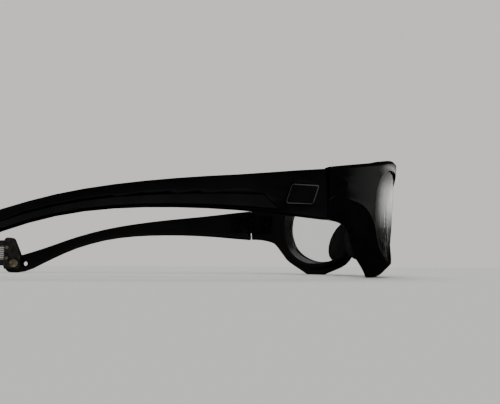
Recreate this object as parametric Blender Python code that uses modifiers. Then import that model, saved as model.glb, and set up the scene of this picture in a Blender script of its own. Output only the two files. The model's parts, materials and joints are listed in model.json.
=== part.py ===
"""Sports goggles: a wraparound front with clear lenses, soft nose pads, folding temples and a head strap.

The wearer looks along -Y and the wearer's left is +X. The rims and the temple tips stand on z = 0.
Left-hand pieces are modelled, and right-hand ones are their mirror images. Lengths are in metres.
"""
import math

import bmesh
import bpy
from mathutils import Matrix, Vector

# Clearance between touching pieces, and how far a cutter overruns what it cuts
GAP = 0.0003
OVERRUN = 0.0040
MERGE_DISTANCE = 0.00001

# Width over the hinges, and how far round the head the outer skin of the front wraps: to the
# hinges, and to the ends before they are cut off square. The skin also bulges in side view.
HINGE_HALF_WIDTH = 0.0670
WRAP_HALF_ANGLE = math.radians(63.91)
FRONT_END_ANGLE = math.radians(66.36)
BULGE_RADIUS = 0.3000
BULGE_HEIGHT = 0.0450

# Front
FRONT_HEIGHT = 0.0414
FRONT_THICKNESS = 0.0049
RIM_STEPS = 4
LIP_DEPTH = 0.0002
EDGE_ROUND = 0.0007

# Lens seat
LENS_THICKNESS = 0.0020
LENS_SETBACK = 0.0010
GROOVE_DEPTH = 0.0009
FLANGE_HEIGHT = 0.0026
FLANGE_WIDTH = 0.0034
FLANGE_TAPER = 0.0005
FLANGE_BEVEL = 0.0009
FLANGE_ROOM_SHARE = 0.70

# Stations around one lens, from the temple side up over the brow to the nose and back below.
# Each row gives the opening, the crest of the outer skin, the front edge and the rear edge, along
# the skin from the middle plane and in height, and how deep both edges lie, in thicknesses.
RIM_STATION_SHARES = (
    ((0.705, 0.585), (0.986, 0.594), (1.000, 0.599), (1.000, 0.599), (0.14, 0.94)),
    ((0.697, 0.676), (0.984, 0.691), (1.000, 0.700), (1.000, 0.700), (0.14, 0.94)),
    ((0.667, 0.768), (0.980, 0.749), (1.000, 0.768), (1.000, 0.768), (0.14, 0.94)),
    ((0.618, 0.826), (0.706, 0.853), (0.706, 0.879), (0.706, 0.879), (0.18, 1.00)),
    ((0.544, 0.865), (0.579, 0.908), (0.579, 0.935), (0.579, 0.935), (0.20, 1.00)),
    ((0.446, 0.879), (0.457, 0.947), (0.457, 0.973), (0.457, 0.973), (0.20, 1.00)),
    ((0.318, 0.867), (0.330, 0.971), (0.330, 0.998), (0.330, 0.998), (0.20, 1.00)),
    ((0.214, 0.802), (0.185, 0.954), (0.185, 0.983), (0.185, 0.983), (0.20, 1.00)),
    ((0.150, 0.691), (0.000, 0.901), (0.000, 0.930), (0.000, 0.930), (0.20, 1.00)),
    ((0.144, 0.546), (0.000, 0.691), (0.000, 0.643), (0.000, 0.643), (0.30, 1.00)),
    ((0.178, 0.391), (0.148, 0.411), (0.096, 0.471), (0.096, 0.471), (0.53, 1.00)),
    ((0.238, 0.261), (0.215, 0.251), (0.168, 0.280), (0.168, 0.280), (0.53, 1.02)),
    ((0.317, 0.179), (0.302, 0.143), (0.255, 0.111), (0.252, 0.107), (0.57, 1.14)),
    ((0.428, 0.143), (0.426, 0.106), (0.412, 0.029), (0.410, -0.012), (0.57, 1.30)),
    ((0.530, 0.152), (0.537, 0.116), (0.537, 0.053), (0.521, -0.012), (0.53, 1.38)),
    ((0.616, 0.217), (0.631, 0.196), (0.676, 0.208), (0.674, 0.135), (0.45, 1.42)),
    ((0.667, 0.304), (0.685, 0.292), (0.748, 0.297), (0.736, 0.246), (0.41, 1.42)),
    ((0.692, 0.399), (0.715, 0.408), (0.825, 0.370), (0.803, 0.362), (0.45, 1.20)),
    ((0.703, 0.471), (0.793, 0.522), (0.903, 0.406), (0.891, 0.406), (0.49, 0.98)),
    ((0.706, 0.527), (0.894, 0.568), (1.000, 0.415), (1.000, 0.415), (0.47, 0.94)),
)
FRONT_CORNERS = (2, 8, 9, 19)
REAR_CORNERS = (2, 8, 9, 13, 14, 19)
SKIN_SHARES = (0.34, 0.68)
LENS_RING_SHARES = (0.18, 0.50, 0.80, 1.00)

# Nose pads: soft leaves behind the rims, on pegs
PAD_HALF_HEIGHT = 0.0092
PAD_HALF_DEPTH = 0.0062
PAD_HALF_THICKNESS = 0.0019
PAD_ARC = 0.0134
PAD_CENTRE_HEIGHT = 0.0145
PAD_SETBACK = 0.0112
PAD_LEAN = math.radians(27)
PAD_SPLAY = math.radians(16)
PEG_RADIUS = 0.0010
PEG_REACH = 0.0034
PAD_CUTTER_SHARES = (-1.0, -0.6, -0.2, 0.2, 0.6, 1.0)

# Temples: how far along, sideways, top, bottom, thickness and how strong the ridge is, as shares
TEMPLE_LENGTH = 0.1180
TEMPLE_TOP = 0.0316
TEMPLE_THICKNESS = 0.0046
RIDGE_RELIEF = 0.0005
TEMPLE_END_CHAMFER = 0.0003
TEMPLE_STATION_SHARES = (
    (0.000, 1.000, 1.004, 0.536, 1.00, 0.0),
    (0.080, 1.023, 0.970, 0.560, 0.98, 0.0),
    (0.200, 1.049, 0.914, 0.593, 0.88, 1.0),
    (0.350, 1.077, 0.854, 0.603, 0.79, 1.0),
    (0.500, 1.091, 0.775, 0.577, 0.76, 1.0),
    (0.620, 1.085, 0.684, 0.508, 0.74, 1.0),
    (0.740, 1.066, 0.548, 0.368, 0.74, 0.7),
    (0.840, 1.042, 0.401, 0.186, 0.74, 0.2),
    (0.910, 1.018, 0.303, 0.042, 0.74, 0.0),
    (0.950, 1.006, 0.255, 0.000, 0.74, 0.0),
    (0.985, 1.001, 0.220, 0.000, 0.72, 0.0),
    (1.000, 1.000, 0.165, 0.032, 0.60, 0.0),
)
TEMPLE_RINGS = 22
# Points round a temple's section, across from the inner face and up from the lower edge
TEMPLE_SECTION_SHARES = (
    (0.22, 0.000), (0.72, 0.000), (0.90, 0.060), (0.94, 0.250), (0.94, 0.450), (0.94, 0.620),
    (0.90, 0.860), (0.66, 1.000), (0.26, 1.000), (0.06, 0.900), (0.00, 0.620), (0.00, 0.250), (0.06, 0.060),
)
FLAT_POINT = 3
RIDGE_POINT = 5

# Soft grip let into the lower outer side of a temple
GRIP_START = 0.0148
GRIP_TIP_DISTANCE = 0.0220
GRIP_LEAN = 0.0044
GRIP_THICKNESS = 0.0010
GRIP_PROUD = 0.0002
GRIP_RINGS = 12
GRIP_EDGE_SHARES = (0.10, 0.43)

# Blank badge let into the outer side of a temple, by the hinge
BADGE_LENGTH = 0.0086
BADGE_HEIGHT = 0.0056
BADGE_THICKNESS = 0.0009
BADGE_PROUD = 0.0003
BADGE_SLANT = 0.0020
BADGE_CORNER = 0.0008
BADGE_ALONG = 0.0080
BADGE_CENTRE_HEIGHT = 0.0238

# Hinges
HINGE_INSET = 0.0054
HINGE_SETBACK = 0.0006
HINGE_CENTRE_HEIGHT = 0.0246
KNUCKLE_RADIUS = 0.0017
KNUCKLE_HEIGHT = 0.0026
KNUCKLE_COUNT = 3
LEAF_THICKNESS = 0.0011
LEAF_LENGTH = 0.0098
HINGE_SCREW_RADIUS = 0.0007
HINGE_HEAD_RADIUS = 0.0014
HINGE_HEAD_HEIGHT = 0.0008
LEAF_SCREW_RADIUS = 0.0006
LEAF_HEAD_RADIUS = 0.0011
LEAF_HEAD_HEIGHT = 0.0005
LEAF_SCREW_REACH = 0.0024
LEAF_SCREW_SPREAD = 0.0048
LEAF_SCREW_SETBACK = 0.0064
LEAF_SEAT_SAG = 0.0001
SCREW_SIDES = 16

# Temple tips: an eyelet, and behind it the pinned clip that holds the head strap
EYELET_RADIUS = 0.0011
EYELET_TIP_DISTANCE = 0.0082
EYELET_HEIGHT = 0.0042
CLIP_TIP_DISTANCE = 0.0069
CLIP_LENGTH = 0.0073
CLIP_BOTTOM = 0.0016
CLIP_TOP = 0.0164
CLIP_THICKNESS = 0.0038
CLIP_CORNER = 0.0012
CLIP_NOSE_SHARE = 0.45
CLIP_SHOULDER_SHARE = 0.47
PIN_RADIUS = 0.0012
PIN_HEAD_RADIUS = 0.0019
PIN_HEAD_HEIGHT = 0.0006
PIN_TIP_DISTANCE = 0.0043
PIN_HEIGHT = 0.0044
RIVET_RADIUS = 0.0005
RIVET_HEAD_RADIUS = 0.0008
RIVET_HEAD_HEIGHT = 0.0003
RIVET_SPREAD = 0.0050
STRAP_POCKET_DEPTH = 0.0026

# Head strap: flat elastic webbing on its edge, in two halves that meet behind the head
STRAP_WIDTH = 0.0120
STRAP_THICKNESS = 0.0014
STRAP_REACH = 0.0806
STRAP_REST_HEIGHT = 0.0063
STRAP_RINGS = 22
STRAP_ROUTE_SHARES = (
    # sideways from the middle plane, behind the clip, how far it has come down to the ground
    (1.000, 0.000, 0.00), (0.998, 0.085, 0.10), (0.975, 0.230, 0.55), (0.905, 0.430, 0.93),
    (0.745, 0.660, 1.00), (0.500, 0.850, 1.00), (0.235, 0.965, 1.00), (0.000, 1.000, 1.00),
)

QUARTER_TURN = math.radians(90)
SMOOTH_ANGLE = math.radians(34)
ROUND_SIDES = 20

BLACK_NYLON = ("moulded_nylon", (0.012, 0.012, 0.013), 0.42, 0.0)
CLEAR_LENS = ("clear_lens", (0.90, 0.93, 0.93), 0.04, 0.0)
SOFT_RUBBER = ("soft_rubber", (0.016, 0.016, 0.017), 0.70, 0.0)
DARK_STEEL = ("hinge_steel", (0.16, 0.16, 0.17), 0.35, 1.0)
BRASS = ("rivet_brass", (0.55, 0.45, 0.18), 0.38, 1.0)
WEBBING = ("elastic_webbing", (0.085, 0.085, 0.088), 0.90, 0.0)

# Derived places
WRAP_RADIUS = HINGE_HALF_WIDTH / math.sin(WRAP_HALF_ANGLE)
FRONT_ARC = WRAP_RADIUS * FRONT_END_ANGLE
HINGE_SKIN_RADIUS = WRAP_RADIUS - (HINGE_CENTRE_HEIGHT - BULGE_HEIGHT) ** 2 / (2 * BULGE_RADIUS)
WRAP_CENTRE_Y = math.sqrt(HINGE_SKIN_RADIUS ** 2 - HINGE_HALF_WIDTH ** 2) - GAP
ENDPIECE_THICKNESS = RIM_STATION_SHARES[0][4][1] * FRONT_THICKNESS
HINGE_X = HINGE_HALF_WIDTH - HINGE_INSET
HINGE_POINT = Vector((HINGE_X, HINGE_SETBACK, HINGE_CENTRE_HEIGHT))
HINGE_HEIGHT = KNUCKLE_COUNT * KNUCKLE_HEIGHT + (KNUCKLE_COUNT - 1) * GAP
GRIP_END = TEMPLE_LENGTH - GRIP_TIP_DISTANCE
EYELET_ALONG = TEMPLE_LENGTH - EYELET_TIP_DISTANCE
TIP_THICKNESS = TEMPLE_STATION_SHARES[-3][4] * TEMPLE_THICKNESS
CLIP_OUTER_X = HINGE_HALF_WIDTH - TIP_THICKNESS - GAP
CLIP_X = CLIP_OUTER_X - CLIP_THICKNESS / 2
CLIP_START = TEMPLE_LENGTH - CLIP_TIP_DISTANCE
CLIP_END = CLIP_START + CLIP_LENGTH
PIN_ALONG = TEMPLE_LENGTH - PIN_TIP_DISTANCE
PIN_POINT = Vector((CLIP_X, PIN_ALONG, PIN_HEIGHT))
STRAP_START = CLIP_END - STRAP_POCKET_DEPTH + GAP
STRAP_HEIGHT = (CLIP_BOTTOM + CLIP_TOP) / 2 + GAP
STRAP_END = STRAP_START + STRAP_REACH
FRONT_Y = WRAP_CENTRE_Y - WRAP_RADIUS
REAR_Y = STRAP_END + STRAP_THICKNESS / 2
MIDDLE_Y = (FRONT_Y + REAR_Y) / 2


# Scene and objects

def clear_scene():
    """Removes every object of the open scene."""
    for item in list(bpy.data.objects):
        bpy.data.objects.remove(item, do_unlink=True)


def new_collection(name):
    """Adds a collection to the scene."""
    collection = bpy.data.collections.new(name)
    bpy.context.scene.collection.children.link(collection)
    return collection


def finish(item, look):
    """Gives an object its material."""
    name, colour, roughness, metallic = look
    material = bpy.data.materials.new(f"{item.name}_{name}")
    material.use_nodes = True
    shader = material.node_tree.nodes["Principled BSDF"]
    shader.inputs["Base Color"].default_value = (*colour, 1.0)
    shader.inputs["Roughness"].default_value = roughness
    shader.inputs["Metallic"].default_value = metallic
    item.data.materials.clear()
    item.data.materials.append(material)


def add_mesh(name, shape, collection):
    """Turns a bmesh into a named object."""
    mesh = bpy.data.meshes.new(name)
    shape.to_mesh(mesh)
    shape.free()
    mesh.shade_smooth()
    mesh.set_sharp_from_angle(angle=SMOOTH_ANGLE)
    item = bpy.data.objects.new(name, mesh)
    collection.objects.link(item)
    return item


def add_part(name, shape, look):
    """Adds a sub-part of the goggles."""
    item = add_mesh(name, shape, PARTS)
    finish(item, look)
    return item


def add_cutter(name, shape):
    """Adds a cutter, drawn as wire and left out of renders."""
    item = add_mesh(name, shape, CUTTERS)
    item.hide_render = True
    item.display_type = "WIRE"
    return item


def combine(item, tool, operation="DIFFERENCE"):
    """Cuts a tool out of an object, or joins it on, and keeps the result as the object's mesh."""
    modifier = item.modifiers.new(operation.lower(), "BOOLEAN")
    modifier.operation = operation
    modifier.solver = "EXACT"
    modifier.object = tool
    settle(item)


def settle(item):
    """Replaces an object's mesh by its evaluated one."""
    bpy.context.view_layer.update()
    evaluated = item.evaluated_get(bpy.context.evaluated_depsgraph_get())
    mesh = bpy.data.meshes.new_from_object(evaluated)
    mesh.name = item.name
    item.modifiers.clear()
    item.data = mesh
    mesh.shade_smooth()
    mesh.set_sharp_from_angle(angle=SMOOTH_ANGLE)


def drop(item):
    """Removes an object that was only needed to make another."""
    bpy.data.objects.remove(item, do_unlink=True)


def mirrored(item, name):
    """Adds the mirror image of a left-hand object, with a material of its own."""
    mesh = item.data.copy()
    mesh.name = name
    mesh.transform(Matrix.Scale(-1, 4, Vector((1, 0, 0))))
    mesh.flip_normals()
    twin = bpy.data.objects.new(name, mesh)
    item.users_collection[0].objects.link(twin)
    if item.data.materials:
        material = item.data.materials[0].copy()
        material.name = material.name.replace(item.name, name)
        twin.data.materials.clear()
        twin.data.materials.append(material)
    return twin


def add_empty(name, point, parent=None):
    """Adds an empty at a point of the goggles' own frame, hung on another empty."""
    item = bpy.data.objects.new(name, None)
    PARTS.objects.link(item)
    item.parent = parent
    origin = Vector(parent["origin"]) if parent else Vector()
    item.location = Vector(point) - origin
    item["origin"] = list(point)
    return item


def hang(item, carrier):
    """Hangs an object on an empty, so that its origin lies there and its shape stays where it is."""
    item.data.transform(Matrix.Translation(-Vector(carrier["origin"])))
    item.parent = carrier


# Shapes

def loft(rings, close_around=False):
    """Joins rings of equally many points; its ends are capped, or the last ring meets the first."""
    shape = bmesh.new()
    rows = [[shape.verts.new(point) for point in ring] for ring in rings]
    following = rows[1:] + rows[:1] if close_around else rows[1:]
    for row, other in zip(rows, following):
        for index, corner in enumerate(row):
            after = (index + 1) % len(row)
            shape.faces.new((corner, row[after], other[after], other[index]))
    if not close_around:
        shape.faces.new(rows[0])
        shape.faces.new(rows[-1])
    bmesh.ops.recalc_face_normals(shape, faces=shape.faces)
    return shape


def cylinder(radius, low, high, sides=ROUND_SIDES, axis="Z", centre=(0, 0, 0)):
    """A cylinder between two places along an axis through a centre."""
    shape = bmesh.new()
    bmesh.ops.create_cone(
        shape, cap_ends=True, segments=sides, radius1=radius, radius2=radius, depth=high - low
    )
    bmesh.ops.translate(shape, verts=shape.verts, vec=(0, 0, (low + high) / 2))
    if axis == "X":
        bmesh.ops.rotate(shape, verts=shape.verts, matrix=Matrix.Rotation(QUARTER_TURN, 3, "Y"))
    bmesh.ops.translate(shape, verts=shape.verts, vec=centre)
    return shape


def box(low, high):
    """A box between two corners."""
    shape = bmesh.new()
    bmesh.ops.create_cube(shape, size=1.0)
    size = [b - a for a, b in zip(low, high)]
    bmesh.ops.scale(shape, verts=shape.verts, vec=size)
    bmesh.ops.translate(shape, verts=shape.verts, vec=[(a + b) / 2 for a, b in zip(low, high)])
    return shape


def place(shape, matrix):
    """Moves a bmesh by a matrix."""
    bmesh.ops.transform(shape, matrix=matrix, verts=shape.verts)
    return shape


def merged(shapes):
    """Puts several bmeshes that don't touch into one."""
    whole = bmesh.new()
    for shape in shapes:
        mesh = bpy.data.meshes.new("piece")
        shape.to_mesh(mesh)
        shape.free()
        whole.from_mesh(mesh)
        bpy.data.meshes.remove(mesh)
    return whole


def both_sides(shape):
    """A left-hand bmesh and its mirror image in one."""
    twin = shape.copy()
    bmesh.ops.scale(twin, verts=twin.verts, vec=(-1, 1, 1))
    bmesh.ops.reverse_faces(twin, faces=twin.faces)
    return merged([shape, twin])


# Curves through stations

def hermite(start, end, slope_start, slope_end, share):
    """A point of the cubic between two places with given slopes."""
    square, cube = share ** 2, share ** 3
    return (
        (2 * cube - 3 * square + 1) * start
        + (cube - 2 * square + share) * slope_start
        + (3 * square - 2 * cube) * end
        + (cube - square) * slope_end
    )


def closed_curve(points, corners, steps):
    """A smooth closed curve through points, with kinks at the corners."""
    count = len(points)
    curve = []
    for index, start in enumerate(points):
        end = points[(index + 1) % count]
        straight = end - start
        slope_start = straight if index in corners else (end - points[index - 1]) / 2
        slope_end = straight if (index + 1) % count in corners else (points[(index + 2) % count] - start) / 2
        for step in range(steps):
            curve.append(hermite(start, end, slope_start, slope_end, step / steps))
    return curve


def follow(table, along):
    """Reads a table of rows at a place along its first column, smoothly."""
    rows = [Vector(row) for row in table]
    last = len(rows) - 1
    index = max(i for i in range(last) if rows[i][0] <= along or i == 0)
    start, end = rows[index], rows[index + 1]
    width = end[0] - start[0]
    before = rows[max(index - 1, 0)]
    after = rows[min(index + 2, last)]
    slope_start = (end - before) / (end[0] - before[0]) * width
    slope_end = (after - start) / (after[0] - start[0]) * width
    return hermite(start, end, slope_start, slope_end, (along - start[0]) / width)


def offset(curve, distance, limits=None):
    """Moves a closed curve of the front outward along the skin, with a limit at each point if given."""
    moved = []
    for index, point in enumerate(curve):
        tangent = curve[(index + 1) % len(curve)] - curve[index - 1]
        outward = Vector((tangent.y, -tangent.x)).normalized()
        step = min(distance, limits[index]) if limits else distance
        moved.append(point + outward * step)
    return moved


def room(curve, other):
    """How far each point of a curve lies from another curve."""
    return [min((point - rival).length for rival in other) for point in curve]


def drawn_in(curve, other, distance):
    """Moves a curve towards another by a distance; what lies in the middle plane stays there."""
    moved = []
    for point, target in zip(curve, other):
        step = point + (target - point).normalized() * distance
        if abs(point.x) < MERGE_DISTANCE:
            step.x = 0
        moved.append(step)
    return moved


def between(curve, other, share):
    """A curve between two others."""
    return [a.lerp(b, share) for a, b in zip(curve, other)]


# Front

def wrap(place_on_skin, depth):
    """A point at a depth below the front's outer skin; the place is along the arc and in height."""
    along, height = place_on_skin
    angle = along / WRAP_RADIUS
    bulge = (height - BULGE_HEIGHT) ** 2 / (2 * BULGE_RADIUS)
    radius = WRAP_RADIUS - depth - bulge
    return Vector((radius * math.sin(angle), WRAP_CENTRE_Y - radius * math.cos(angle), height))


def rim_curve(column, corners):
    """One of the four curves around a lens."""
    stations = []
    for row in RIM_STATION_SHARES:
        along, height = row[column]
        stations.append(Vector((along * FRONT_ARC, height * FRONT_HEIGHT)))
    return closed_curve(stations, corners, RIM_STEPS)


def edge_depths(column):
    """How deep the front edge, or the rear edge, lies at each point around a lens."""
    at_station = [row[4][column] * FRONT_THICKNESS for row in RIM_STATION_SHARES]
    depths = []
    for index, depth in enumerate(at_station):
        following = at_station[(index + 1) % len(at_station)]
        depths += [depth + (following - depth) * step / RIM_STEPS for step in range(RIM_STEPS)]
    return depths


def wrapped(curve, depths):
    """A ring of the front at a depth, or at one depth a point."""
    if isinstance(depths, float):
        depths = [depths] * len(curve)
    return [wrap(point, depth) for point, depth in zip(curve, depths)]


def lens_opening():
    """The edge of the opening for a lens."""
    return rim_curve(0, ())


def front_half():
    """The left half of the front, open at the middle plane."""
    opening = lens_opening()
    crest = rim_curve(1, FRONT_CORNERS)
    front_edge = rim_curve(2, FRONT_CORNERS)
    rear_edge = rim_curve(3, REAR_CORNERS)
    front_depths = edge_depths(0)
    rear_depths = edge_depths(1)
    back = drawn_in(rear_edge, opening, EDGE_ROUND)
    groove = offset(opening, GROOVE_DEPTH)
    limits = [FLANGE_ROOM_SHARE * distance for distance in room(opening, back)]
    flange_foot = offset(opening, FLANGE_WIDTH, limits)
    flange_crest = offset(opening, FLANGE_WIDTH - FLANGE_TAPER, [limit - FLANGE_TAPER for limit in limits])
    flange_bevel = offset(opening, FLANGE_BEVEL, [limit / 2 for limit in limits])
    flange_depth = FRONT_THICKNESS + FLANGE_HEIGHT
    seat_front = LENS_SETBACK - GAP
    seat_rear = LENS_SETBACK + LENS_THICKNESS + GAP
    rings = [wrapped(opening, LIP_DEPTH)]
    for share in SKIN_SHARES:
        rings.append(wrapped(between(opening, crest, share), LIP_DEPTH * (1 - share) ** 2))
    rings.append(wrapped(crest, 0.0))
    rings.append(wrapped(front_edge, front_depths))
    rings.append(wrapped(rear_edge, [depth - EDGE_ROUND for depth in rear_depths]))
    rings.append(wrapped(back, rear_depths))
    for share in SKIN_SHARES:
        rings.append(wrapped(between(back, flange_foot, share), rear_depths))
    rings.append(wrapped(flange_foot, rear_depths))
    rings.append(wrapped(flange_crest, flange_depth))
    rings.append(wrapped(flange_bevel, flange_depth))
    rings.append(wrapped(opening, seat_rear))
    rings.append(wrapped(groove, seat_rear))
    rings.append(wrapped(groove, seat_front))
    rings.append(wrapped(opening, seat_front))
    shape = loft(rings, close_around=True)
    for corner in shape.verts:
        if abs(corner.co.x) < MERGE_DISTANCE:
            corner.co.x = 0
    flat = [face for face in shape.faces if all(corner.co.x == 0 for corner in face.verts)]
    bmesh.ops.delete(shape, geom=flat, context="FACES")
    return shape


def make_front():
    """The front: rims, bridge and endpieces, with grooves for the lenses and pockets for the hinges."""
    front = add_part("front_frame", front_half(), BLACK_NYLON)
    mirror = front.modifiers.new("other_half", "MIRROR")
    mirror.use_mirror_merge = True
    mirror.merge_threshold = MERGE_DISTANCE
    settle(front)
    ends = box(
        (HINGE_X - OVERRUN, -GAP, -OVERRUN), (HINGE_HALF_WIDTH + OVERRUN, 3 * OVERRUN, FRONT_HEIGHT + OVERRUN)
    )
    combine(front, add_cutter("front_end_cutter", both_sides(ends)))
    below = box((-HINGE_HALF_WIDTH, FRONT_Y, -OVERRUN), (HINGE_HALF_WIDTH, 0, 0))
    combine(front, add_cutter("front_rest_cutter", below))
    combine(front, add_cutter("front_pocket_cutter", both_sides(hinge_pocket())))
    holes = [leaf_screw_hole(point, FRONT_LEAF) for point in leaf_screw_points(FRONT_LEAF)]
    holes.append(peg(PEG_RADIUS + GAP, PEG_REACH + GAP))
    combine(front, add_cutter("front_hole_cutter", both_sides(merged(holes))))
    return front


def make_lens():
    """A clear lens whose edge sits in the groove of the rim."""
    edge = offset(lens_opening(), GROOVE_DEPTH - GAP)[::2]
    centre = sum(edge, Vector((0, 0))) / len(edge)
    curves = [[centre.lerp(point, share) for point in edge] for share in LENS_RING_SHARES]
    rings = [wrapped(curve, LENS_SETBACK) for curve in curves]
    rings += [wrapped(curve, LENS_SETBACK + LENS_THICKNESS) for curve in reversed(curves)]
    return add_part("lens_left", loft(rings), CLEAR_LENS)


def pad_frame():
    """The place and turn of a nose pad: X across it, Y out behind the rim and Z up along it."""
    angle = PAD_ARC / WRAP_RADIUS
    centre = wrap((PAD_ARC, PAD_CENTRE_HEIGHT), PAD_SETBACK)
    turn = Matrix.Rotation(angle + PAD_SPLAY, 4, "Z") @ Matrix.Rotation(-PAD_LEAN, 4, "Y")
    return Matrix.Translation(centre) @ turn


def peg(radius, reach):
    """The peg of a nose pad, which runs forward into the rim."""
    centre = wrap((PAD_ARC, PAD_CENTRE_HEIGHT), PAD_SETBACK)
    base = wrap((PAD_ARC, PAD_CENTRE_HEIGHT), FRONT_THICKNESS + FLANGE_HEIGHT)
    length = (centre - base).length
    shape = cylinder(radius, -PAD_HALF_THICKNESS, length + reach, SCREW_SIDES)
    forward = (base - centre).normalized()
    turn = Vector((0, 0, 1)).rotation_difference(forward).to_matrix().to_4x4()
    return place(shape, Matrix.Translation(centre) @ turn)


def make_pad():
    """A soft nose pad: a leaf that follows the back of the rim, with a peg."""
    leaf = bmesh.new()
    bmesh.ops.create_uvsphere(leaf, u_segments=ROUND_SIDES, v_segments=ROUND_SIDES // 2, radius=1)
    bmesh.ops.scale(leaf, verts=leaf.verts, vec=(PAD_HALF_THICKNESS, PAD_HALF_DEPTH, PAD_HALF_HEIGHT))
    pad = add_part("nose_pad_left", place(leaf, pad_frame()), SOFT_RUBBER)
    depth = FRONT_THICKNESS + FLANGE_HEIGHT + GAP
    reach = PAD_ARC + PAD_HALF_HEIGHT + OVERRUN
    rings = []
    for arc_share in PAD_CUTTER_SHARES:
        heights = [PAD_CENTRE_HEIGHT + reach * share for share in PAD_CUTTER_SHARES]
        along = PAD_ARC + reach * arc_share
        outer = [wrap((along, height), -OVERRUN) for height in heights]
        inner = [wrap((along, height), depth) for height in reversed(heights)]
        rings.append(outer + inner)
    combine(pad, add_cutter("pad_back_cutter", loft(rings)))
    stem = add_mesh("pad_stem", peg(PEG_RADIUS, PEG_REACH), PARTS)
    combine(pad, stem, "UNION")
    drop(stem)
    return pad


# Hinges

def leaf_matrix(point, angle):
    """A leaf's own frame: X out into the plastic, Y back along the leaf, Z up."""
    return Matrix.Translation(point) @ Matrix.Rotation(angle, 4, "Z")


def front_leaf_frame():
    """Where the front's leaf lies: against the inside of the endpiece, from the hinge axis forward."""
    radius = HINGE_SKIN_RADIUS - ENDPIECE_THICKNESS
    far_angle = math.acos((WRAP_CENTRE_Y + GAP) / radius)
    near_angle = far_angle - LEAF_LENGTH / radius
    sagitta = LEAF_LENGTH ** 2 / (8 * radius)
    middle = (far_angle + near_angle) / 2
    seat = radius - sagitta - GAP - LEAF_THICKNESS / 2
    point = Vector((seat * math.sin(middle), WRAP_CENTRE_Y - seat * math.cos(middle), HINGE_CENTRE_HEIGHT))
    return leaf_matrix(point, middle - QUARTER_TURN)


def temple_leaf_frame():
    """Where the temple's leaf lies: against the inside of the temple, from the hinge axis back."""
    near, far = inner_face(HINGE_SETBACK), inner_face(HINGE_SETBACK + LEAF_LENGTH)
    along = (far - near).normalized()
    outward = Vector((along.y, -along.x, 0))
    middle = (near + far) / 2 - outward * (GAP + LEAF_THICKNESS / 2 + LEAF_SEAT_SAG)
    middle.z = HINGE_CENTRE_HEIGHT
    return leaf_matrix(middle, math.atan2(outward.y, outward.x))


def hinge_pocket():
    """The round pocket that both plastic pieces leave for the knuckles."""
    half = HINGE_HEIGHT / 2 + HINGE_HEAD_HEIGHT + 2 * GAP
    return cylinder(KNUCKLE_RADIUS + GAP, -half, half, centre=HINGE_POINT)


def knuckle_span(index):
    """The lower and upper end of a knuckle, from the middle of the hinge."""
    low = -HINGE_HEIGHT / 2 + index * (KNUCKLE_HEIGHT + GAP)
    return low, low + KNUCKLE_HEIGHT


def leaf_screw_points(frame):
    """The two places of a leaf's screws, in the leaf's own frame."""
    sign = 1 if frame is TEMPLE_LEAF else -1
    back = sign * (LEAF_SCREW_SETBACK - LEAF_LENGTH / 2)
    return [Vector((0, back, side * LEAF_SCREW_SPREAD / 2)) for side in (-1, 1)]


def leaf_screw_hole(point, frame):
    """The hole for a leaf's screw, through the leaf and into the plastic."""
    reach = LEAF_THICKNESS / 2 + LEAF_SCREW_REACH + 2 * GAP
    shape = cylinder(LEAF_SCREW_RADIUS + GAP, -LEAF_THICKNESS, reach, SCREW_SIDES, "X", point)
    return place(shape, frame)


def make_leaf(name, frame, knuckles):
    """One leaf of a hinge, with its knuckles bored for the hinge screw."""
    half = Vector((LEAF_THICKNESS / 2, LEAF_LENGTH / 2, HINGE_HEIGHT / 2))
    leaf = add_part(name, place(box(-half, half), frame), DARK_STEEL)
    others = [index for index in range(KNUCKLE_COUNT) if index not in knuckles]
    reliefs = []
    for index in others:
        low, high = knuckle_span(index)
        reliefs.append(cylinder(KNUCKLE_RADIUS + GAP, low - GAP, high + GAP, centre=HINGE_POINT))
    combine(leaf, add_cutter(f"{name}_relief_cutter", merged(reliefs)))
    for index in knuckles:
        low, high = knuckle_span(index)
        knuckle = add_mesh("knuckle", cylinder(KNUCKLE_RADIUS, low, high, centre=HINGE_POINT), PARTS)
        combine(leaf, knuckle, "UNION")
        drop(knuckle)
    half_height = HINGE_HEIGHT / 2 + OVERRUN
    bore = cylinder(HINGE_SCREW_RADIUS + GAP, -half_height, half_height, SCREW_SIDES, centre=HINGE_POINT)
    holes = [leaf_screw_hole(point, frame) for point in leaf_screw_points(frame)]
    combine(leaf, add_cutter(f"{name}_hole_cutter", merged([bore] + holes)))
    return leaf


def make_leaf_screw(name, frame, point):
    """A small screw whose head lies on a leaf and whose shank runs into the plastic."""
    face = -LEAF_THICKNESS / 2 - GAP
    head = place(cylinder(LEAF_HEAD_RADIUS, face - LEAF_HEAD_HEIGHT, face, SCREW_SIDES, "X", point), frame)
    screw = add_part(name, head, DARK_STEEL)
    end = LEAF_THICKNESS / 2 + LEAF_SCREW_REACH
    shank = cylinder(LEAF_SCREW_RADIUS, face - LEAF_HEAD_HEIGHT / 2, end, SCREW_SIDES, "X", point)
    tool = add_mesh("shank", place(shank, frame), PARTS)
    combine(screw, tool, "UNION")
    drop(tool)
    return screw


def make_hinge_screw():
    """The upright screw that a temple turns on."""
    top = HINGE_HEIGHT / 2 + GAP
    head = cylinder(HINGE_HEAD_RADIUS, top, top + HINGE_HEAD_HEIGHT, SCREW_SIDES, centre=HINGE_POINT)
    screw = add_part("hinge_screw_left", head, DARK_STEEL)
    shank = cylinder(HINGE_SCREW_RADIUS, -HINGE_HEIGHT / 2, top + GAP, SCREW_SIDES, centre=HINGE_POINT)
    tool = add_mesh("shank", shank, PARTS)
    combine(screw, tool, "UNION")
    drop(tool)
    return screw


# Temples

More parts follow.
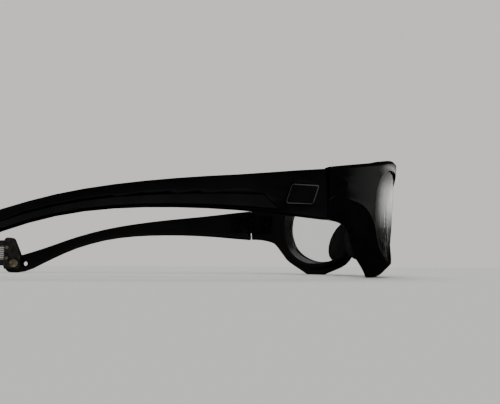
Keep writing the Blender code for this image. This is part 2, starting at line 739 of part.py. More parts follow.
def temple_measure(along):
    """Sideways place, top, bottom, thickness and ridge of a temple at a distance behind the hinge gap."""
    row = follow(TEMPLE_STATION_SHARES, along / TEMPLE_LENGTH)
    bottom = max(row[3], 0) * TEMPLE_TOP
    ridge = max(row[5], 0) * RIDGE_RELIEF
    return row[1] * HINGE_HALF_WIDTH, row[2] * TEMPLE_TOP, bottom, row[4] * TEMPLE_THICKNESS, ridge


def inner_face(along):
    """A point on a temple's inner face."""
    outer, _, _, thickness, _ = temple_measure(along)
    return Vector((outer - thickness, along, 0))


def temple_point(along, across, up, outset=0.0):
    """A point of a temple, from shares across and up its section, moved outward by an outset."""
    outer, top, bottom, thickness, _ = temple_measure(along)
    return Vector((outer - thickness * (1 - across) + outset, along, bottom + (top - bottom) * up))


def flat_side(along, height):
    """A point on the flat of a temple's outer side, at a height above the ground."""
    _, top, bottom, _, _ = temple_measure(along)
    return temple_point(along, TEMPLE_SECTION_SHARES[FLAT_POINT][0], (height - bottom) / (top - bottom))


def temple_ring(along, inset=0.0):
    """One section of a temple; an inset draws it in all round."""
    ridge = temple_measure(along)[4]
    ring = []
    for index, (across, up) in enumerate(TEMPLE_SECTION_SHARES):
        ring.append(temple_point(along, across, up, ridge if index == RIDGE_POINT else 0.0))
    centre = sum(ring, Vector()) / len(ring)
    drawn = []
    for point in ring:
        inward = centre - point
        drawn.append(point + Vector((math.copysign(inset, inward.x), 0, math.copysign(inset, inward.z))))
    return drawn


def temple_places():
    """Where a temple's sections lie: closer together towards the tip."""
    last = TEMPLE_RINGS - 1
    return [TEMPLE_LENGTH * math.sin(QUARTER_TURN * index / last) for index in range(TEMPLE_RINGS)]


def make_temple():
    """A temple arm, with its hinge pocket, grip recess, badge recess, eyelet and pin hole."""
    start = temple_ring(0.0, TEMPLE_END_CHAMFER)
    rings = [start] + [temple_ring(max(place_along, TEMPLE_END_CHAMFER)) for place_along in temple_places()]
    for ring in rings:
        for point in ring:
            point.y += GAP
    temple = add_part("temple_left", loft(rings), BLACK_NYLON)
    combine(temple, add_cutter("temple_pocket_cutter", hinge_pocket()))
    combine(temple, add_cutter("grip_recess_cutter", grip_shape(GAP, OVERRUN)))
    combine(temple, add_cutter("badge_recess_cutter", badge_shape(GAP, OVERRUN)))
    through = (CLIP_OUTER_X - OVERRUN, HINGE_HALF_WIDTH + OVERRUN)
    eyelet = cylinder(EYELET_RADIUS, *through, axis="X", centre=(0, EYELET_ALONG, EYELET_HEIGHT))
    pin_hole = cylinder(PIN_RADIUS + GAP, *through, axis="X", centre=(0, PIN_ALONG, PIN_HEIGHT))
    holes = [leaf_screw_hole(point, TEMPLE_LEAF) for point in leaf_screw_points(TEMPLE_LEAF)]
    combine(temple, add_cutter("temple_hole_cutter", merged([eyelet, pin_hole] + holes)))
    return temple


def grip_shape(clearance, outset):
    """The soft grip, or with a clearance the recess for it."""
    low_share, high_share = GRIP_EDGE_SHARES
    first, last = GRIP_START - clearance, GRIP_END + clearance
    rings = []
    for index in range(GRIP_RINGS):
        share = index / (GRIP_RINGS - 1)
        along = first + (last - first) * share
        lean = GRIP_LEAN * (1 - share) ** 3
        _, top, bottom, _, _ = temple_measure(along)
        edge = clearance / (top - bottom)
        ring = []
        for up, depth in (
            (low_share - edge, 0), (high_share + edge, 0),
            (high_share + edge, GRIP_THICKNESS + clearance), (low_share - edge, GRIP_THICKNESS + clearance),
        ):
            place_along = along + lean * (up - low_share) / (high_share - low_share)
            outer = temple_point(place_along, TEMPLE_SECTION_SHARES[FLAT_POINT][0], up)
            outer.x += outset - depth if depth == 0 else -depth
            ring.append(outer + Vector((0, GAP, 0)))
        rings.append(ring)
    return loft(rings)


def make_grip():
    """The soft grip of a temple."""
    return add_part("temple_grip_left", grip_shape(0.0, GRIP_PROUD), SOFT_RUBBER)


def badge_shape(clearance, outset):
    """The blank badge, or with a clearance the recess for it."""
    half_length = BADGE_LENGTH / 2 + clearance
    half_height = BADGE_HEIGHT / 2 + clearance
    depth = BADGE_THICKNESS - BADGE_PROUD + clearance
    shape = box((-depth, -half_length, -half_height), (outset, half_length, half_height))
    upright = [edge for edge in shape.edges if abs(edge.verts[0].co.x - edge.verts[1].co.x) > clearance + GAP]
    bmesh.ops.bevel(
        shape, geom=upright, offset=BADGE_CORNER + clearance, segments=3, profile=0.5, affect="EDGES"
    )
    for corner in shape.verts:
        corner.co.y -= BADGE_SLANT * corner.co.z / BADGE_HEIGHT
    face, ahead, behind = [
        flat_side(BADGE_ALONG + side * BADGE_LENGTH / 2, BADGE_CENTRE_HEIGHT) for side in (0, 1, -1)
    ]
    angle = -math.atan2(ahead.x - behind.x, BADGE_LENGTH)
    centre = Vector((face.x, BADGE_ALONG, BADGE_CENTRE_HEIGHT))
    return place(shape, Matrix.Translation(centre) @ Matrix.Rotation(angle, 4, "Z"))


def make_badge():
    """The blank badge of a temple."""
    return add_part("temple_badge_left", badge_shape(0.0, BADGE_PROUD), BLACK_NYLON)


# Strap and its clips

def make_clip():
    """The moulded clip that turns on the pin at a temple's tip and holds the strap's end."""
    low, high = CLIP_BOTTOM, CLIP_TOP
    nose = low + (high - low) * CLIP_NOSE_SHARE
    shoulder = CLIP_START + CLIP_LENGTH * CLIP_SHOULDER_SHARE
    outline = ((CLIP_START, low), (CLIP_END, low), (CLIP_END, high), (shoulder, high), (CLIP_START, nose))
    rings = [[(x, y, z) for y, z in outline] for x in (CLIP_OUTER_X - CLIP_THICKNESS, CLIP_OUTER_X)]
    shape = loft(rings)
    across = [edge for edge in shape.edges if abs(edge.verts[0].co.x - edge.verts[1].co.x) > CLIP_CORNER]
    bmesh.ops.bevel(shape, geom=across, offset=CLIP_CORNER, segments=4, profile=0.5, affect="EDGES")
    clip = add_part("strap_clip_left", shape, SOFT_RUBBER)
    half_thickness = STRAP_THICKNESS / 2 + GAP
    half_width = STRAP_WIDTH / 2 + GAP
    pocket = box(
        (CLIP_X - half_thickness, CLIP_END - STRAP_POCKET_DEPTH, STRAP_HEIGHT - half_width),
        (CLIP_X + half_thickness, CLIP_END + OVERRUN, STRAP_HEIGHT + half_width),
    )
    combine(clip, add_cutter("strap_pocket_cutter", pocket))
    across_clip = (CLIP_OUTER_X - CLIP_THICKNESS - OVERRUN, CLIP_OUTER_X + OVERRUN)
    pin_hole = cylinder(PIN_RADIUS + GAP, *across_clip, axis="X", centre=(0, PIN_ALONG, PIN_HEIGHT))
    holes = [pin_hole] + [rivet_seat(side) for side in (-1, 1)]
    combine(clip, add_cutter("clip_hole_cutter", merged(holes)))
    return clip


def rivet_place(side):
    """Where a rivet of the clip lies along and in height."""
    return CLIP_END - STRAP_POCKET_DEPTH / 2, STRAP_HEIGHT + side * RIVET_SPREAD / 2


def rivet_hole(span, side):
    """The hole for a rivet, through the clip and the strap's end."""
    along, height = rivet_place(side)
    return cylinder(RIVET_RADIUS + GAP, *span, SCREW_SIDES, "X", (0, along, height))


def rivet_seat(side):
    """The hole for a rivet through the clip, with the recess for its outer head."""
    along, height = rivet_place(side)
    centre = (0, along, height)
    floor = CLIP_OUTER_X - RIVET_HEAD_HEIGHT - GAP
    span = (CLIP_OUTER_X - CLIP_THICKNESS - OVERRUN, floor + GAP)
    hole = add_mesh("hole", rivet_hole(span, side), CUTTERS)
    recess = cylinder(RIVET_HEAD_RADIUS + GAP, floor, CLIP_OUTER_X + OVERRUN, ROUND_SIDES, "X", centre)
    tool = add_mesh("recess", recess, CUTTERS)
    combine(hole, tool, "UNION")
    seat = bmesh.new()
    seat.from_mesh(hole.data)
    drop(hole)
    drop(tool)
    return seat


def headed_pin(name, radius, head_radius, head_height, span, along, height):
    """A pin along X with a head at each end; the span is what it holds together."""
    low, high = span
    centre = (0, along, height)
    shank = cylinder(radius, low - head_height / 2, high + head_height / 2, SCREW_SIDES, "X", centre)
    pin = add_part(name, shank, BRASS)
    for start, end in ((low - head_height, low), (high, high + head_height)):
        head = add_mesh("head", cylinder(head_radius, start, end, ROUND_SIDES, "X", centre), PARTS)
        combine(pin, head, "UNION")
        drop(head)
    return pin


def make_clip_pin():
    """The pin that a clip turns on, through the temple's tip."""
    outer = temple_measure(PIN_ALONG)[0]
    span = (CLIP_OUTER_X - CLIP_THICKNESS - GAP, outer + GAP)
    sizes = (PIN_RADIUS, PIN_HEAD_RADIUS, PIN_HEAD_HEIGHT)
    return headed_pin("clip_pin_left", *sizes, span, PIN_ALONG, PIN_HEIGHT)


def make_clip_rivet(name, side):
    """A rivet that holds the strap's end in its clip."""
    along, height = rivet_place(side)
    span = (CLIP_OUTER_X - CLIP_THICKNESS - GAP, CLIP_OUTER_X - RIVET_HEAD_HEIGHT)
    return headed_pin(name, RIVET_RADIUS, RIVET_HEAD_RADIUS, RIVET_HEAD_HEIGHT, span, along, height)


def strap_places():
    """The middle line of the strap's left half, from its clip to the middle plane."""
    places = []
    for index in range(STRAP_RINGS):
        along = index / (STRAP_RINGS - 1) * (len(STRAP_ROUTE_SHARES) - 1)
        row = follow([(number, *shares) for number, shares in enumerate(STRAP_ROUTE_SHARES)], along)
        height = STRAP_HEIGHT + (STRAP_REST_HEIGHT - STRAP_HEIGHT) * row[3]
        places.append(Vector((CLIP_X * row[1], STRAP_START + STRAP_REACH * row[2], height)))
    places[-1].x = GAP / 2
    return places


def make_strap():
    """The left half of the head strap."""
    places = strap_places()
    rings = []
    for index, centre in enumerate(places):
        before, after = places[max(index - 1, 0)], places[min(index + 1, len(places) - 1)]
        tangent = after - before
        if index == len(places) - 1:
            tangent = Vector((-1, 0, 0))
        if index == 0:
            tangent = Vector((0, 1, 0))
        side = Vector((tangent.y, -tangent.x, 0)).normalized() * STRAP_THICKNESS / 2
        up = Vector((0, 0, STRAP_WIDTH / 2))
        rings.append([centre - side - up, centre + side - up, centre + side + up, centre - side + up])
    strap = add_part("strap_left", loft(rings), WEBBING)
    span = (CLIP_X - STRAP_THICKNESS, CLIP_X + STRAP_THICKNESS)
    combine(strap, add_cutter("strap_hole_cutter", merged([rivet_hole(span, side) for side in (-1, 1)])))
    return strap


# Assembly

def with_twin(item, carriers):
    """Adds the right-hand twin of a left-hand piece, and hangs each on its own empty."""
    twin = mirrored(item, item.name.replace("left", "right"))
    hang(item, carriers[0])
    hang(twin, carriers[1])


def mirror_point(point):
    """The same place on the other side."""
    return Vector((-point[0], point[1], point[2]))


def build():
    """Makes every sub-part and hangs it on the empty of the body that it moves with."""
    middle = add_empty("goggles", (0, 0, 0))
    front = make_front()
    hang(front, middle)
    fixed = (middle, middle)
    hinge_right = mirror_point(HINGE_POINT)
    temples = (
        add_empty("temple_axis_left", HINGE_POINT, middle),
        add_empty("temple_axis_right", hinge_right, middle),
    )
    pin_right = mirror_point(PIN_POINT)
    clips = (
        add_empty("clip_axis_left", PIN_POINT, temples[0]),
        add_empty("clip_axis_right", pin_right, temples[1]),
    )
    with_twin(make_lens(), fixed)
    with_twin(make_pad(), fixed)
    with_twin(make_leaf("front_leaf_left", FRONT_LEAF, (0, 2)), fixed)
    with_twin(make_leaf("temple_leaf_left", TEMPLE_LEAF, (1,)), temples)
    for word, index in (("lower", 0), ("upper", 1)):
        front_point = leaf_screw_points(FRONT_LEAF)[index]
        with_twin(make_leaf_screw(f"front_leaf_screw_{word}_left", FRONT_LEAF, front_point), fixed)
        temple_place = leaf_screw_points(TEMPLE_LEAF)[index]
        with_twin(make_leaf_screw(f"temple_leaf_screw_{word}_left", TEMPLE_LEAF, temple_place), temples)
        with_twin(make_clip_rivet(f"clip_rivet_{word}_left", 2 * index - 1), clips)
    with_twin(make_hinge_screw(), fixed)
    with_twin(make_temple(), temples)
    with_twin(make_grip(), temples)
    with_twin(make_badge(), temples)
    with_twin(make_clip_pin(), temples)
    with_twin(make_clip(), clips)
    with_twin(make_strap(), clips)
    middle.location.y = -MIDDLE_Y


clear_scene()
PARTS = new_collection("sports_goggles")
CUTTERS = new_collection("sports_goggles_cutters")
FRONT_LEAF = front_leaf_frame()
TEMPLE_LEAF = temple_leaf_frame()
build()
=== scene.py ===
"""Looks of the sports goggles: a black wraparound front, clear lenses, satin temples and a woven head strap."""
import bisect
import json
import math

import bmesh
import bpy
from mathutils import Matrix, Vector


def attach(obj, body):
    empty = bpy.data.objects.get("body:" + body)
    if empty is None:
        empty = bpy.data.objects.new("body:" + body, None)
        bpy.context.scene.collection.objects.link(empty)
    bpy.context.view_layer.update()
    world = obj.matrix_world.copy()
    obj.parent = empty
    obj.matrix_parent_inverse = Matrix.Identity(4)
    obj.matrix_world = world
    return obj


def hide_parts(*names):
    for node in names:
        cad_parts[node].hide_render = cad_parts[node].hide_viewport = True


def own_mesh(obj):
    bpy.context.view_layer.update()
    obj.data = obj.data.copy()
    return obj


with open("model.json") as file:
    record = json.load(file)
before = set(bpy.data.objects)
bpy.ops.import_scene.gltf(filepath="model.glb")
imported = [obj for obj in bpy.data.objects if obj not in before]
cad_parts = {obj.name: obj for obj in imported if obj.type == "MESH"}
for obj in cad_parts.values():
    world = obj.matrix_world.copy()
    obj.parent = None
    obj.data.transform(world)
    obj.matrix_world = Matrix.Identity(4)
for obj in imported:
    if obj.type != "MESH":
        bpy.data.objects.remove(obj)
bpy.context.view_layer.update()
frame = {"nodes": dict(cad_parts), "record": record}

SIDES = ("left", "right")
SIGNS = {"left": 1, "right": -1}
MILLIMETRES = 1000

# Corners nearer to each other than this, in metres, are one
SEAM = 0.000002

# Faces that turn by less than the first two angles are one flat face, edges that turn by more than the next three
# are shaded sharp, and edges that turn by more than the last three are rounded
NEARLY_FLAT = math.radians(0.5)
TRULY_FLAT = math.radians(0.02)
SMOOTH_ANGLE = math.radians(32)
CRISP_ANGLE = math.radians(22)
CLOTH_ANGLE = math.radians(60)
EASED_ANGLE = math.radians(40)
ROLLED_ANGLE = math.radians(60)
BADGE_ANGLE = math.radians(30)
LARGE_FACES_LEAD = 100

# The front and the lenses wrap round an upright line on the middle plane. How squarely a face looks away from that
# line tells the two skins of a lens from its edge, and the front's satin back from its polished outside
WRAP_CENTRE_Y = -0.04595
WRAP_LEAN = 0.97
BACK_LEAN = -0.05
LENS_THINNING = 0.0016

# Rounding of the small parts, in metres
GRIP_ROUNDING = 0.00016
LEAF_ROUNDING = 0.00010
SCREW_ROUNDING = 0.00012
RIVET_ROUNDING = 0.00014
PIN_ROUNDING = 0.00028
CLIP_ROUNDING = 0.00030
EASED_STEPS = 2
CLIP_STEPS = 3
ROLLED_STEPS = 4

# Cross recesses of the screws: reach from the middle, width and depth
HINGE_SCREW_CROSS = (0.00085, 0.00032, 0.00035)
LEAF_SCREW_CROSS = (0.00065, 0.00026, 0.00022)
CROSS_STAGGER = 0.00001

# Badges: a raised rim with a sloped wall round a sunk field
BADGE_RIM = 0.00022
BADGE_WALL = 0.00012
BADGE_SINK = 0.00018
BADGE_ROUNDING = 0.00007
BADGE_FACING = 0.9

# Strap, as in the part's source: middle line, webbing and where the halves meet
CLIP_X = 0.061396
STRAP_START = 0.039251
STRAP_REACH = 0.0806
STRAP_FROM = 0.0093
STRAP_TO = 0.0063
STRAP_WIDTH = 0.0119
STRAP_THICKNESS = 0.0013
STRAP_ROUTE = (
    (1.000, 0.000, 0.00), (0.998, 0.085, 0.10), (0.975, 0.230, 0.55), (0.905, 0.430, 0.93),
    (0.745, 0.660, 1.00), (0.500, 0.850, 1.00), (0.235, 0.965, 1.00), (0.000, 1.000, 1.00),
)
STRAP_SEGMENTS = 160
STRAP_ROWS = 16
SELVEDGE_ROUNDING = 0.00042
SELVEDGE_STEPS = 3
SELVEDGE_ANGLE = math.radians(50)

# Weave, in millimetres: from cord to cord across the strap, and from pick to pick along it
CORD_PITCH = 0.9
PICK_PITCH = 0.75

# Stitching beside the middle of the strap: one zigzag row on each side and face
THREAD_RADIUS = 0.00016
STITCH_PLACES = (0.0020, 0.0105)
STITCH_SWING = 0.0007
STITCH_PITCH = 0.0010
STITCH_MARGIN = 0.0011
STITCH_SINK = 0.00024
STITCH_LIFT = 0.00012
STITCH_SAMPLES = 5
THREAD_SIDES = 6

# Studio: the floor, the pale backdrop, and the dark room that the plastic mirrors instead
FLOOR_SIZE = 30.0
BACKDROP = 1.38
ROOM_DARK = 0.012
MIRRORED = 0.5
# The strip light's way, how near a ray runs to it where it starts and where it is full, and its power. Its profile
# gives its level at each height, which is RISE_SCALE times the sine of the angle above the horizon
STRIP = ((0.70, -0.71, 0.0), 0.905, 0.985, 1.15)
RISE_SCALE = 4.0
STRIP_PROFILE = (
    (0.17, 0.0), (0.26, 0.06), (0.33, 0.36), (0.40, 0.78), (0.47, 1.0), (0.54, 0.85), (0.61, 0.32), (0.68, 0.10),
    (0.80, 0.02),
)
# The other glows, in the same terms: a narrow one beside the strip, a fill on the camera's side, light thrown up from
# the table, and a fill behind the wearer
GLOWS = (
    ((0.137, -0.975, 0.17), 0.95, 0.992, 0.27),
    ((-1.0, 0.0, 0.05), 0.45, 0.90, 0.06),
    ((-0.768, -0.177, -0.616), 0.80, 0.97, 0.38),
    ((0.0, 1.0, 0.2), 0.50, 0.95, 0.16),
)
LAMP_SPREAD = math.radians(70)
OVERHEAD_ENERGY = 1.85
OVERHEAD_TURN = (math.radians(8), math.radians(20), 0)
SIDE_ENERGY = 2.4
SIDE_TURN = (0, math.radians(-68), 0)

# Camera, at the photograph's viewing angle
CAMERA_PLACE = (-0.2195, -0.028448, 0.0034)
CAMERA_YAW = math.radians(9.527)
CAMERA_PITCH = math.radians(6.594)
CAMERA_ROLL = math.radians(0.350)
SENSOR_WIDTH = 36.0
FOCAL_LENGTH = 40.32
CLIP_NEAR = 0.001
CLIP_FAR = 100.0


def linear(hex_colour):
    """An sRGB hex colour as linear red, green, blue and alpha."""
    channels = [int(hex_colour[place:place + 2], 16) / 255 for place in (1, 3, 5)]
    turned = [c / 12.92 if c <= 0.04045 else ((c + 0.055) / 1.055) ** 2.4 for c in channels]
    return (*turned, 1.0)


def add_node(tree, kind, settings=None, values=None, links=None):
    """Adds a shader node, with its settings, socket values and incoming links."""
    item = tree.nodes.new(kind)
    for name, value in (settings or {}).items():
        setattr(item, name, value)
    for socket, value in (values or {}).items():
        item.inputs[socket].default_value = value
    for socket, source in (links or {}).items():
        tree.links.new(source, item.inputs[socket])
    return item


def new_material(name, values):
    """A material with a Principled shader, and that shader's tree."""
    material = bpy.data.materials.new(name)
    material.use_nodes = True
    tree = material.node_tree
    shader = tree.nodes["Principled BSDF"]
    for socket, value in values.items():
        shader.inputs[socket].default_value = value
    return material, tree, shader


def ramp(tree, source, stops):
    """A colour ramp over a factor; each stop is a place and a linear colour."""
    item = add_node(tree, "ShaderNodeValToRGB", links={"Fac": source})
    elements = item.color_ramp.elements
    while len(elements) < len(stops):
        elements.new(0.5)
    for element, (place, colour) in zip(elements, stops):
        element.position = place
        element.color = colour
    return item.outputs["Color"]


def grain(tree, shader, size, strength, depth, detail, contrast, roughness):
    """Moulded grain of a size in metres: a bump, and a roughness that varies with it over a contrast."""
    where = add_node(tree, "ShaderNodeTexCoord").outputs["Object"]
    noise = add_node(
        tree, "ShaderNodeTexNoise", values={"Scale": 1.0 / size, "Detail": detail}, links={"Vector": where}
    )
    level = noise.outputs["Fac"]
    bump = add_node(
        tree, "ShaderNodeBump", values={"Strength": strength, "Distance": depth}, links={"Height": level}
    )
    tree.links.new(bump.outputs["Normal"], shader.inputs["Normal"])
    spread = add_node(
        tree, "ShaderNodeMapRange",
        values={"From Min": contrast[0], "From Max": contrast[1], "To Min": roughness[0], "To Max": roughness[1]},
        links={"Value": level},
    )
    tree.links.new(spread.outputs["Result"], shader.inputs["Roughness"])
    return where


def mottle(tree, shader, where, stops, scale, detail, distortion=0.0):
    """Lets the base colour wander over a noise; each stop is a place and an sRGB hex colour."""
    noise = add_node(
        tree, "ShaderNodeTexNoise", values={"Scale": scale, "Detail": detail, "Distortion": distortion},
        links={"Vector": where},
    )
    colour = ramp(tree, noise.outputs["Fac"], [(place, linear(shade)) for place, shade in stops])
    tree.links.new(colour, shader.inputs["Base Color"])


def math_node(tree, operation, first, second=None, third=None):
    """The result of a shader sum; each part is a number or another node's output."""
    item = add_node(tree, "ShaderNodeMath", {"operation": operation})
    for socket, part in enumerate((first, second, third)):
        if isinstance(part, (int, float)):
            item.inputs[socket].default_value = part
        elif part is not None:
            tree.links.new(part, item.inputs[socket])
    return item.outputs[0]


def polished_nylon():
    """Polished black nylon of the front: a clean mould gives it a clear, slightly wavy gloss."""
    material, tree, shader = new_material(
        "polished_black_nylon", {"Base Color": linear("#060607"), "IOR": 1.53, "Specular IOR Level": 0.30}
    )
    where = grain(
        tree, shader, size=0.0022, strength=0.10, depth=0.00012, detail=2.0, contrast=(0.3, 0.7),
        roughness=(0.12, 0.20),
    )
    mottle(tree, shader, where, ((0.35, "#050506"), (0.75, "#0b0b0c")), scale=90.0, detail=4.0, distortion=0.8)
    return material


def satin_nylon():
    """Satin black nylon of the temples: a spark-eroded mould leaves a fine grain that blurs all reflections."""
    material, tree, shader = new_material(
        "satin_black_nylon", {"Base Color": linear("#060606"), "IOR": 1.53, "Specular IOR Level": 0.22}
    )
    where = grain(
        tree, shader, size=0.00028, strength=0.22, depth=0.00004, detail=2.0, contrast=(0.3, 0.7),
        roughness=(0.36, 0.50),
    )
    mottle(tree, shader, where, ((0.30, "#040404"), (0.80, "#0a0a0b")), scale=60.0, detail=5.0)
    return material


def badge_plating():
    """Dark chrome plating on the raised rim of the blank badges: it takes a thin light from every side."""
    material, tree, shader = new_material(
        "dark_chrome_plating", {"Base Color": linear("#b4b4bc"), "Metallic": 1.0}
    )
    grain(
        tree, shader, size=0.0011, strength=0.08, depth=0.00003, detail=2.0, contrast=(0.3, 0.7),
        roughness=(0.16, 0.26),
    )
    return material


def clear_polycarbonate():
    """Clear moulded polycarbonate of the lenses: polished on both faces, so it shows what lies behind it."""
    values = {"Base Color": linear("#fbfdfd"), "IOR": 1.585, "Transmission Weight": 1.0, "Roughness": 0.0}
    return new_material("clear_polycarbonate", values)[0]


def soft_elastomer(name, base, worn, size):
    """Soft black elastomer: dull and slightly dusty, with a fine leathery mould grain."""
    material, tree, shader = new_material(
        name, {"Base Color": linear(base), "IOR": 1.50, "Specular IOR Level": 0.36}
    )
    where = grain(
        tree, shader, size=size, strength=0.35, depth=0.00006, detail=4.0, contrast=(0.3, 0.7),
        roughness=(0.52, 0.70),
    )
    mottle(tree, shader, where, ((0.35, base), (0.80, worn)), scale=130.0, detail=6.0)
    return material


def dark_steel():
    """Black-oxide steel of the hinges and screws: a dark, half-dull metal with fine turning marks."""
    material, tree, shader = new_material(
        "black_oxide_steel", {"Base Color": linear("#26262a"), "Metallic": 1.0}
    )
    where = add_node(tree, "ShaderNodeTexCoord").outputs["Object"]
    stretched = add_node(
        tree, "ShaderNodeMapping", values={"Scale": (1.0, 1.0, 9.0)}, links={"Vector": where}
    )
    marks = add_node(
        tree, "ShaderNodeTexNoise", values={"Scale": 1100.0, "Detail": 3.0},
        links={"Vector": stretched.outputs["Vector"]},
    )
    spread = add_node(
        tree, "ShaderNodeMapRange", values={"To Min": 0.38, "To Max": 0.55}, links={"Value": marks.outputs["Fac"]}
    )
    tree.links.new(spread.outputs["Result"], shader.inputs["Roughness"])
    bump = add_node(
        tree, "ShaderNodeBump", values={"Strength": 0.25, "Distance": 0.00003},
        links={"Height": marks.outputs["Fac"]},
    )
    tree.links.new(bump.outputs["Normal"], shader.inputs["Normal"])
    return material


def tarnished_brass():
    """Brass of the pins and rivets: worn bright on the high spots, duller and greener where it has tarnished."""
    material, tree, shader = new_material(
        "tarnished_brass", {"Base Color": linear("#e6deb2"), "Metallic": 1.0}
    )
    where = grain(
        tree, shader, size=0.0006, strength=0.30, depth=0.00004, detail=5.0, contrast=(0.35, 0.7),
        roughness=(0.28, 0.60),
    )
    stops = ((0.36, "#a8a680"), (0.50, "#e6deb2"), (0.68, "#fbf4d6"))
    mottle(tree, shader, where, stops, scale=900.0, detail=6.0)
    return material


def clip_acetal():
    """Dark brown-black acetal of the strap clips: slightly waxy, with dust in its grain."""
    material, tree, shader = new_material(
        "brown_black_acetal", {"Base Color": linear("#151413"), "IOR": 1.48, "Specular IOR Level": 0.40}
    )
    where = grain(
        tree, shader, size=0.0007, strength=0.40, depth=0.00008, detail=5.0, contrast=(0.3, 0.7),
        roughness=(0.38, 0.58),
    )
    mottle(tree, shader, where, ((0.42, "#121110"), (0.72, "#2a2824")), scale=420.0, detail=6.0)
    return material


def woven_elastic():
    """Woven elastic of the strap: rubber cords under a knit, mid-grey between two dark edges."""
    material, tree, shader = new_material(
        "woven_elastic",
        {
            "Roughness": 0.86, "IOR": 1.46, "Specular IOR Level": 0.25, "Sheen Weight": 0.25,
            "Sheen Roughness": 0.45,
        },
    )
    # the UV map is in millimetres: along the strap and across it
    cloth = add_node(tree, "ShaderNodeUVMap", settings={"uv_map": "cloth"}).outputs["UV"]
    split = add_node(tree, "ShaderNodeSeparateXYZ", links={"Vector": cloth})
    along, across = split.outputs["X"], split.outputs["Y"]
    cord_wave = math_node(tree, "SINE", math_node(tree, "MULTIPLY", across, math.tau / CORD_PITCH))
    picks = math_node(tree, "MULTIPLY", along, math.tau / PICK_PITCH)
    lean = math_node(tree, "MULTIPLY", across, math.pi / CORD_PITCH)
    pick_wave = math_node(tree, "SINE", math_node(tree, "ADD", picks, lean))
    knit = math_node(tree, "MULTIPLY_ADD", pick_wave, 0.5, cord_wave)
    fuzz = add_node(
        tree, "ShaderNodeTexNoise", values={"Scale": 5.0, "Detail": 5.0}, links={"Vector": cloth}
    )
    height = math_node(tree, "MULTIPLY_ADD", fuzz.outputs["Fac"], 0.8, knit)
    bump = add_node(
        tree, "ShaderNodeBump", values={"Strength": 0.7, "Distance": 0.00012}, links={"Height": height}
    )
    tree.links.new(bump.outputs["Normal"], shader.inputs["Normal"])
    share = math_node(tree, "DIVIDE", across, STRAP_WIDTH * MILLIMETRES)
    edge, border, centre = linear("#2a2929"), linear("#302f2f"), linear("#b6b4b1")
    bands = ramp(
        tree, share,
        ((0.00, edge), (0.22, border), (0.28, centre), (0.72, centre), (0.78, border), (1.00, edge)),
    )
    # painted shade: the base colour is darkened in the low parts of the weave, by the same knit height that raises
    # its bump
    dark = ramp(tree, knit, ((0.0, linear("#8a8a8a")), (0.9, linear("#ffffff"))))
    mixed = add_node(
        tree, "ShaderNodeMix", {"data_type": "RGBA", "blend_type": "MULTIPLY"}, {"Factor": 1.0}
    )
    # on a colour mix, sockets 6 and 7 are A and B, and output 2 is the colour
    tree.links.new(bands, mixed.inputs[6])
    tree.links.new(dark, mixed.inputs[7])
    tree.links.new(mixed.outputs[2], shader.inputs["Base Color"])
    return material


def sewing_thread():
    """Bonded black sewing thread: dull, a little fuzzy, lighter than the webbing's edge."""
    material, tree, shader = new_material(
        "bonded_thread", {"Base Color": linear("#3a3938"), "IOR": 1.46, "Specular IOR Level": 0.3}
    )
    grain(
        tree, shader, size=0.0002, strength=0.5, depth=0.00005, detail=4.0, contrast=(0.3, 0.7),
        roughness=(0.60, 0.80),
    )
    return material


POLISHED = polished_nylon()
SATIN = satin_nylon()
LENS = clear_polycarbonate()
BADGE = badge_plating()
PAD_RUBBER = soft_elastomer("nose_pad_elastomer", "#0d0d0d", "#191919", 0.0005)
GRIP_RUBBER = soft_elastomer("grip_elastomer", "#090909", "#121212", 0.0004)
STEEL = dark_steel()
BRASS = tarnished_brass()
ACETAL = clip_acetal()
ELASTIC = woven_elastic()
THREAD = sewing_thread()


def riding_body(node):
    """The body that a CAD node moves with."""
    for body, nodes in frame["record"]["behaviour"]["bodies"].items():
        if node in nodes:
            return body
    raise ValueError(node)


def add_piece(name, shape, material, body, angle=SMOOTH_ANGLE):
    """Turns a bmesh into a shaded object that rides on a body."""
    mesh = bpy.data.meshes.new(name)
    shape.to_mesh(mesh)
    shape.free()
    mesh.shade_smooth()
    mesh.set_sharp_from_angle(angle=angle)
    mesh.materials.append(material)
    item = bpy.data.objects.new(name, mesh)
    bpy.context.scene.collection.objects.link(item)
    if body:
        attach(item, body)
    return item


def merged_surface(node):
    """A CAD node's surface as a bmesh with its doubles merged."""
    shape = bmesh.new()
    shape.from_mesh(frame["nodes"][node].data)
    bmesh.ops.remove_doubles(shape, verts=shape.verts, dist=SEAM)
    return shape


def node_shape(node, flat=NEARLY_FLAT):
    """A CAD node's merged surface with its flat faces whole."""
    shape = merged_surface(node)
    bmesh.ops.dissolve_limit(
        shape, angle_limit=flat, use_dissolve_boundaries=False, verts=shape.verts, edges=shape.edges,
        delimit=set(),
    )
    return shape


def sharp_edges(shape, angle):
    """Edges of a bmesh that turn by more than an angle."""
    return [edge for edge in shape.edges if len(edge.link_faces) == 2 and edge.calc_face_angle() > angle]


def ease(shape, width, steps=EASED_STEPS, angle=EASED_ANGLE):
    """Rounds the sharp edges of a bmesh."""
    bmesh.ops.bevel(
        shape, geom=sharp_edges(shape, angle), offset=width, segments=steps, profile=0.5, affect="EDGES",
        material=-1, clamp_overlap=True,
    )
    return shape


def even_shading(item):
    """Lets the large faces of a moulding lead its shading, so narrow edges keep their own."""
    lead = item.modifiers.new("even_shading", "WEIGHTED_NORMAL")
    lead.mode = "FACE_AREA"
    lead.weight = LARGE_FACES_LEAD
    lead.keep_sharp = True
    return item


def away_from_wrap(point):
    """The level way from the wrap's middle line out to a point."""
    return Vector((point.x, point.y - WRAP_CENTRE_Y, 0)).normalized()


def thin_lens(node):
    """A lens's surface, thinned from behind, so that it doesn't bend what shows through it at a grazing view."""
    shape = merged_surface(node)
    shape.normal_update()
    back = {
        corner
        for face in shape.faces
        if face.normal.dot(away_from_wrap(face.calc_center_median())) < -WRAP_LEAN
        for corner in face.verts
    }
    for corner in back:
        corner.co += away_from_wrap(corner.co) * LENS_THINNING
    return shape


